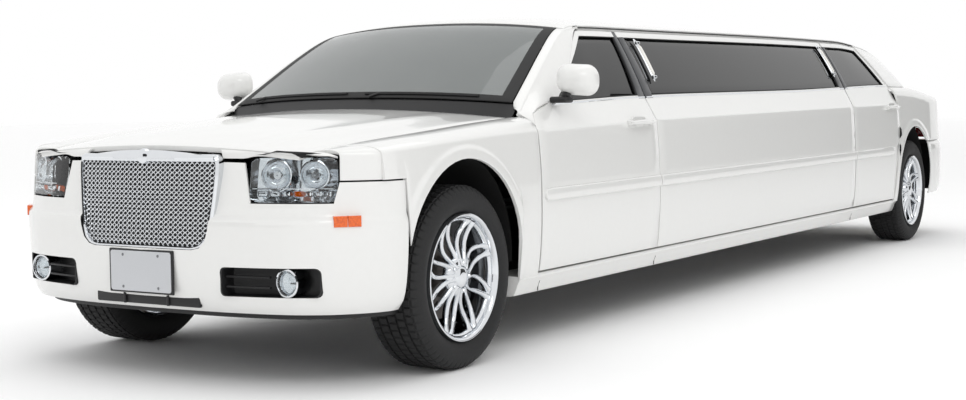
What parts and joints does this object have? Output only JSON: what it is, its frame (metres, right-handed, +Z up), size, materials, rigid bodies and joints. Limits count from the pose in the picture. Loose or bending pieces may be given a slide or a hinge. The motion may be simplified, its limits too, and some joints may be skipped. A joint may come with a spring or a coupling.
{
  "type": "stretch limousine",
  "caption": "Long-wheelbase saloon with a stretched cabin, opening doors, hood and trunk lid, steered front wheels and free-rolling wheels.",
  "frame": {"origin": "on the ground, under the middle of the car's length and width", "axes": "-Y points the way the car faces, +X to its left side, +Z up"},
  "size_m": [2.131, 7.9959, 1.483],
  "materials": {
    "body_paint": "gloss",
    "tyre": "matte",
    "wheel_chrome": "polished",
    "chrome_trim": "polished",
    "lamp_lens": "polished",
    "red_lens": "gloss",
    "tinted_glass": "polished",
    "clear_glass": "polished",
    "plate": "satin",
    "underbody_black": "matte",
    "cast_metal": "rough",
    "exhaust_steel": "satin",
    "cabin_plastic": "matte",
    "leather": "satin"
  },
  "bodies": {
    "body": {"floor_pan": "underbody_black", "subframes": "underbody_black", "driveline": "cast_metal", "engine": "cast_metal", "exhaust": "exhaust_steel", "fuel_tank": "underbody_black", "wheelhouses": "underbody_black", "front_fenders": "body_paint", "front_bumper": "body_paint", "grille": "chrome_trim", "headlamps": "lamp_lens", "fog_lamps": "chrome_trim", "front_plate": "plate", "windshield": "clear_glass", "roof": "body_paint", "centre_panels": "body_paint", "fixed_windows": "tinted_glass", "quarter_panels": "body_paint", "sills": "body_paint", "rear_bumper": "body_paint", "tail_lamps": "red_lens", "dashboard": "cabin_plastic", "front_seats": "leather", "partition": "leather", "cabin_seats": "leather"},
    "hood": {"hood": "body_paint"},
    "trunk_lid": {"trunk_lid": "body_paint", "rear_plate": "plate"},
    "steering_wheel": {"steering_wheel": "cabin_plastic"},
    "left_knuckle": {"left_knuckle": "cast_metal"},
    "right_knuckle": {"right_knuckle": "cast_metal"},
    "front_left_door": {"front_left_door": "body_paint", "front_left_window": "tinted_glass", "left_mirror": "body_paint"},
    "front_left_wheel": {"front_left_tyre": "tyre", "front_left_rim": "wheel_chrome"},
    "front_right_door": {"front_right_door": "body_paint", "front_right_window": "tinted_glass", "right_mirror": "body_paint"},
    "front_right_wheel": {"front_right_tyre": "tyre", "front_right_rim": "wheel_chrome"},
    "rear_left_door": {"rear_left_door": "body_paint", "rear_left_window": "tinted_glass"},
    "rear_left_wheel": {"rear_left_tyre": "tyre", "rear_left_rim": "wheel_chrome"},
    "rear_right_door": {"rear_right_door": "body_paint", "rear_right_window": "tinted_glass"},
    "rear_right_wheel": {"rear_right_tyre": "tyre", "rear_right_rim": "wheel_chrome"}
  },
  "joints": [
    {"name": "front_left_door_hinge", "type": "hinge", "parent": "body", "child": "front_left_door", "pos_m": [0.896, -2.5075, 0.7], "axis": [0, 0, -1], "range_deg": [0, 65]},
    {"name": "rear_left_door_hinge", "type": "hinge", "parent": "body", "child": "rear_left_door", "pos_m": [0.896, 1.6515, 0.7], "axis": [0, 0, -1], "range_deg": [0, 65]},
    {"name": "front_right_door_hinge", "type": "hinge", "parent": "body", "child": "front_right_door", "pos_m": [-0.896, -2.5075, 0.7], "axis": [0, 0, 1], "range_deg": [0, 65]},
    {"name": "rear_right_door_hinge", "type": "hinge", "parent": "body", "child": "rear_right_door", "pos_m": [-0.896, 1.6515, 0.7], "axis": [0, 0, 1], "range_deg": [0, 65]},
    {"name": "hood_hinge", "type": "hinge", "parent": "body", "child": "hood", "pos_m": [0, -2.5685, 0.972], "axis": [-1, 0, 0], "range_deg": [0, 50]},
    {"name": "trunk_hinge", "type": "hinge", "parent": "body", "child": "trunk_lid", "pos_m": [0, 3.4665, 1.085], "axis": [1, 0, 0], "range_deg": [0, 65]},
    {"name": "left_steer", "type": "hinge", "parent": "body", "child": "left_knuckle", "pos_m": [0.728, -3.1645, 0.364], "axis": [0, 0, 1], "range_deg": [-35, 35]},
    {"name": "right_steer", "type": "hinge", "parent": "body", "child": "right_knuckle", "pos_m": [-0.728, -3.1645, 0.364], "axis": [0, 0, 1], "range_deg": [-35, 35]},
    {"name": "steering_wheel_turn", "type": "hinge", "parent": "body", "child": "steering_wheel", "pos_m": [0.436, -2.3145, 0.8], "axis": [0, 0.9063, 0.4226], "range_deg": [-490, 490]},
    {"name": "front_left_wheel_spin", "type": "hinge", "parent": "left_knuckle", "child": "front_left_wheel", "pos_m": [0.8, -3.1645, 0.364], "axis": [1, 0, 0], "continuous": true},
    {"name": "front_right_wheel_spin", "type": "hinge", "parent": "right_knuckle", "child": "front_right_wheel", "pos_m": [-0.8, -3.1645, 0.364], "axis": [1, 0, 0], "continuous": true},
    {"name": "rear_left_wheel_spin", "type": "hinge", "parent": "body", "child": "rear_left_wheel", "pos_m": [0.8, 2.9315, 0.364], "axis": [1, 0, 0], "continuous": true},
    {"name": "rear_right_wheel_spin", "type": "hinge", "parent": "body", "child": "rear_right_wheel", "pos_m": [-0.8, 2.9315, 0.364], "axis": [1, 0, 0], "continuous": true}
  ],
  "couplings": [
    {"joint": "right_steer", "follows": "left_steer", "ratio": 1},
    {"joint": "steering_wheel_turn", "follows": "left_steer", "ratio": 14}
  ]
}
